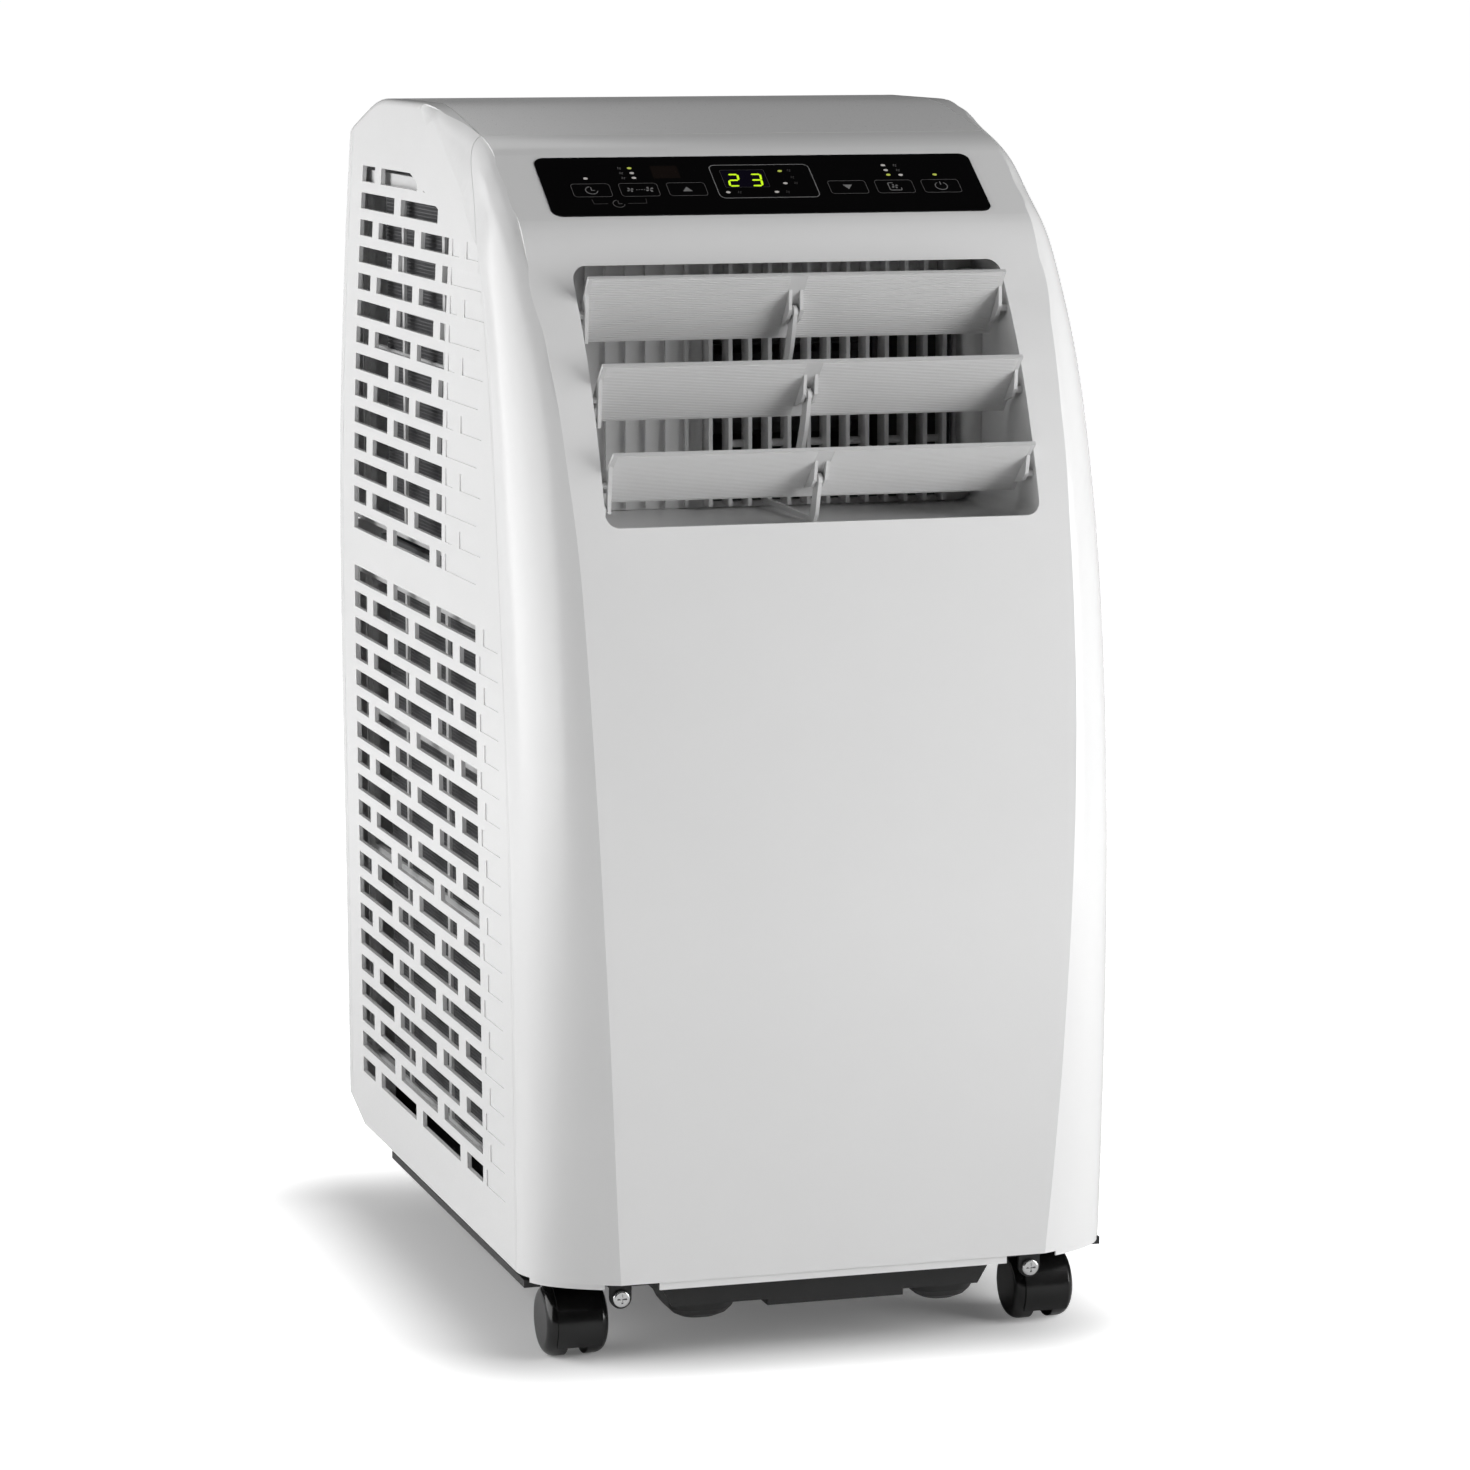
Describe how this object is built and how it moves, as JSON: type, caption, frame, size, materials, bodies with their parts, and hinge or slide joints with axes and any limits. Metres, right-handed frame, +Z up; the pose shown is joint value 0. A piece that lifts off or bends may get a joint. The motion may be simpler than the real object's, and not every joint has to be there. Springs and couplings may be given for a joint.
{
  "type": "portable air conditioner",
  "caption": "Upright portable air conditioner on twin-wheel casters, with a bowed front, a sloped control panel, pivoting outlet louvres, brick-pattern side grilles and a rear exhaust collar.",
  "frame": {"origin": "on the floor under the centre of the bounding box", "axes": "+X to the right seen from the front, -Y the front with the louvres, +Z up"},
  "size_m": [0.3526, 0.4967, 0.7],
  "materials": {
    "white_abs": "glossy moulded",
    "cover_abs": "satin moulded",
    "louvre_abs": "satin with fine ribs",
    "duct_abs": "satin",
    "black_pp": "fine grain",
    "overlay_gloss": "high gloss",
    "display_gloss": "high gloss",
    "key_gloss": "high gloss",
    "circuit_board": "lacquered",
    "filter_frame": "satin",
    "black_rubber": "soft",
    "grey_pp": "satin",
    "zinc_steel": "zinc coated",
    "black_enamel": "enamel",
    "coil_fins": "thin pressed fins",
    "copper_pipe": "drawn copper tube",
    "capacitor_can": "drawn can",
    "caster_nylon": "moulded nylon",
    "wheel_nylon": "moulded nylon",
    "screw_steel": "bright plated"
  },
  "bodies": {
    "casing": {"accumulator": "black_enamel", "base_pan": "black_pp", "casing_screws": "screw_steel", "compressor": "black_enamel", "condenser_coil": "coil_fins", "control_overlay": "overlay_gloss", "cord_gland": "black_rubber", "display_board": "circuit_board", "display_window": "display_gloss", "drain_tray": "grey_pp", "electrical_box": "zinc_steel", "evaporator_coil": "coil_fins", "exhaust_collar": "black_pp", "exhaust_fan_housing": "grey_pp", "exhaust_fan_motor": "zinc_steel", "front_shell": "white_abs", "left_side_panel": "white_abs", "louvre_arms": "duct_abs", "louvre_motor": "black_pp", "main_board": "circuit_board", "outlet_frame": "duct_abs", "outlet_guard": "duct_abs", "rear_shell": "white_abs", "refrigerant_pipes": "copper_pipe", "right_side_panel": "white_abs", "room_fan_housing": "grey_pp", "room_fan_motor": "zinc_steel", "run_capacitor": "capacitor_can", "top_cover": "cover_abs", "underside_skids": "black_pp"},
    "blade_upper": {"louvre_blade_upper": "louvre_abs"},
    "blade_middle": {"louvre_blade_middle": "louvre_abs"},
    "blade_lower": {"louvre_blade_lower": "louvre_abs"},
    "link": {"louvre_link": "louvre_abs"},
    "room_fan": {"room_fan_wheel": "grey_pp"},
    "exhaust_fan": {"exhaust_fan_wheel": "grey_pp"},
    "key_timer": {"key_timer": "key_gloss"},
    "key_fan_speed": {"key_fan_speed": "key_gloss"},
    "key_up": {"key_up": "key_gloss"},
    "key_down": {"key_down": "key_gloss"},
    "key_mode": {"key_mode": "key_gloss"},
    "key_power": {"key_power": "key_gloss"},
    "filter_left_upper": {"filter_left_upper": "filter_frame"},
    "filter_left_lower": {"filter_left_lower": "filter_frame"},
    "filter_right_upper": {"filter_right_upper": "filter_frame"},
    "filter_right_lower": {"filter_right_lower": "filter_frame"},
    "drain_plug_upper": {"drain_plug_upper": "black_rubber"},
    "drain_plug_lower": {"drain_plug_lower": "black_rubber"},
    "caster_front_left": {"caster_front_left": "caster_nylon"},
    "wheel_front_left_inner": {"wheel_front_left_inner": "wheel_nylon"},
    "wheel_front_left_outer": {"wheel_front_left_outer": "wheel_nylon"},
    "caster_front_right": {"caster_front_right": "caster_nylon"},
    "wheel_front_right_inner": {"wheel_front_right_inner": "wheel_nylon"},
    "wheel_front_right_outer": {"wheel_front_right_outer": "wheel_nylon"},
    "caster_rear_left": {"caster_rear_left": "caster_nylon"},
    "wheel_rear_left_inner": {"wheel_rear_left_inner": "wheel_nylon"},
    "wheel_rear_left_outer": {"wheel_rear_left_outer": "wheel_nylon"},
    "caster_rear_right": {"caster_rear_right": "caster_nylon"},
    "wheel_rear_right_inner": {"wheel_rear_right_inner": "wheel_nylon"},
    "wheel_rear_right_outer": {"wheel_rear_right_outer": "wheel_nylon"}
  },
  "joints": [
    {"name": "louvre_upper_turn", "type": "hinge", "parent": "casing", "child": "blade_upper", "pos_m": [0, -0.15778, 0.5871], "axis": [1, 0, 0], "range_deg": [0, 109.3]},
    {"name": "louvre_middle_turn", "type": "hinge", "parent": "casing", "child": "blade_middle", "pos_m": [0, -0.18434, 0.54228], "axis": [1, 0, 0], "range_deg": [0, 109.3]},
    {"name": "louvre_lower_turn", "type": "hinge", "parent": "casing", "child": "blade_lower", "pos_m": [0, -0.20401, 0.49652], "axis": [1, 0, 0], "range_deg": [0, 109.3]},
    {"name": "louvre_link_turn", "type": "hinge", "parent": "blade_upper", "child": "link", "pos_m": [-0.124, -0.15778, 0.5731], "axis": [1, 0, 0], "range_deg": [-109.3, 0]},
    {"name": "room_fan_spin", "type": "hinge", "parent": "casing", "child": "room_fan", "pos_m": [0.04, 0.055, 0.56], "axis": [1, 0, 0], "continuous": true},
    {"name": "exhaust_fan_spin", "type": "hinge", "parent": "casing", "child": "exhaust_fan", "pos_m": [0, 0.085, 0.215], "axis": [1, 0, 0], "continuous": true},
    {"name": "key_timer_press", "type": "slide", "parent": "casing", "child": "key_timer", "axis": [0, 0.5534, -0.8329], "range_m": [0, 0.0006], "stiffness_N_per_m": 600, "springref_m": -0.0003},
    {"name": "key_fan_speed_press", "type": "slide", "parent": "casing", "child": "key_fan_speed", "axis": [0, 0.5534, -0.8329], "range_m": [0, 0.0006], "stiffness_N_per_m": 600, "springref_m": -0.0003},
    {"name": "key_up_press", "type": "slide", "parent": "casing", "child": "key_up", "axis": [0, 0.5534, -0.8329], "range_m": [0, 0.0006], "stiffness_N_per_m": 600, "springref_m": -0.0003},
    {"name": "key_down_press", "type": "slide", "parent": "casing", "child": "key_down", "axis": [0, 0.5534, -0.8329], "range_m": [0, 0.0006], "stiffness_N_per_m": 600, "springref_m": -0.0003},
    {"name": "key_mode_press", "type": "slide", "parent": "casing", "child": "key_mode", "axis": [0, 0.5534, -0.8329], "range_m": [0, 0.0006], "stiffness_N_per_m": 600, "springref_m": -0.0003},
    {"name": "key_power_press", "type": "slide", "parent": "casing", "child": "key_power", "axis": [0, 0.5534, -0.8329], "range_m": [0, 0.0006], "stiffness_N_per_m": 600, "springref_m": -0.0003},
    {"name": "filter_left_upper_pull", "type": "slide", "parent": "casing", "child": "filter_left_upper", "axis": [0, 1, 0], "range_m": [0, 0.29]},
    {"name": "filter_left_lower_pull", "type": "slide", "parent": "casing", "child": "filter_left_lower", "axis": [0, 1, 0], "range_m": [0, 0.37]},
    {"name": "filter_right_upper_pull", "type": "slide", "parent": "casing", "child": "filter_right_upper", "axis": [0, 1, 0], "range_m": [0, 0.29]},
    {"name": "filter_right_lower_pull", "type": "slide", "parent": "casing", "child": "filter_right_lower", "axis": [0, 1, 0], "range_m": [0, 0.37]},
    {"name": "drain_plug_upper_pull", "type": "slide", "parent": "casing", "child": "drain_plug_upper", "axis": [0, 1, 0], "range_m": [0, 0.025]},
    {"name": "drain_plug_lower_pull", "type": "slide", "parent": "casing", "child": "drain_plug_lower", "axis": [0, 1, 0], "range_m": [0, 0.025]},
    {"name": "caster_front_left_swivel", "type": "hinge", "parent": "casing", "child": "caster_front_left", "pos_m": [-0.14, -0.172, 0.05], "axis": [0, 0, 1], "continuous": true},
    {"name": "wheel_front_left_inner_roll", "type": "hinge", "parent": "caster_front_left", "child": "wheel_front_left_inner", "pos_m": [-0.14, -0.1835, 0.0205], "axis": [1, 0, 0], "continuous": true},
    {"name": "wheel_front_left_outer_roll", "type": "hinge", "parent": "caster_front_left", "child": "wheel_front_left_outer", "pos_m": [-0.14, -0.1835, 0.0205], "axis": [1, 0, 0], "continuous": true},
    {"name": "caster_front_right_swivel", "type": "hinge", "parent": "casing", "child": "caster_front_right", "pos_m": [0.14, -0.172, 0.05], "axis": [0, 0, 1], "continuous": true},
    {"name": "wheel_front_right_inner_roll", "type": "hinge", "parent": "caster_front_right", "child": "wheel_front_right_inner", "pos_m": [0.14, -0.1835, 0.0205], "axis": [1, 0, 0], "continuous": true},
    {"name": "wheel_front_right_outer_roll", "type": "hinge", "parent": "caster_front_right", "child": "wheel_front_right_outer", "pos_m": [0.14, -0.1835, 0.0205], "axis": [1, 0, 0], "continuous": true},
    {"name": "caster_rear_left_swivel", "type": "hinge", "parent": "casing", "child": "caster_rear_left", "pos_m": [-0.094, 0.188, 0.05], "axis": [0, 0, 1], "continuous": true},
    {"name": "wheel_rear_left_inner_roll", "type": "hinge", "parent": "caster_rear_left", "child": "wheel_rear_left_inner", "pos_m": [-0.094, 0.1765, 0.0205], "axis": [1, 0, 0], "continuous": true},
    {"name": "wheel_rear_left_outer_roll", "type": "hinge", "parent": "caster_rear_left", "child": "wheel_rear_left_outer", "pos_m": [-0.094, 0.1765, 0.0205], "axis": [1, 0, 0], "continuous": true},
    {"name": "caster_rear_right_swivel", "type": "hinge", "parent": "casing", "child": "caster_rear_right", "pos_m": [0.094, 0.188, 0.05], "axis": [0, 0, 1], "continuous": true},
    {"name": "wheel_rear_right_inner_roll", "type": "hinge", "parent": "caster_rear_right", "child": "wheel_rear_right_inner", "pos_m": [0.094, 0.1765, 0.0205], "axis": [1, 0, 0], "continuous": true},
    {"name": "wheel_rear_right_outer_roll", "type": "hinge", "parent": "caster_rear_right", "child": "wheel_rear_right_outer", "pos_m": [0.094, 0.1765, 0.0205], "axis": [1, 0, 0], "continuous": true}
  ],
  "couplings": [
    {"joint": "louvre_middle_turn", "follows": "louvre_upper_turn", "ratio": 1},
    {"joint": "louvre_lower_turn", "follows": "louvre_upper_turn", "ratio": 1},
    {"joint": "louvre_link_turn", "follows": "louvre_upper_turn", "ratio": -1}
  ]
}
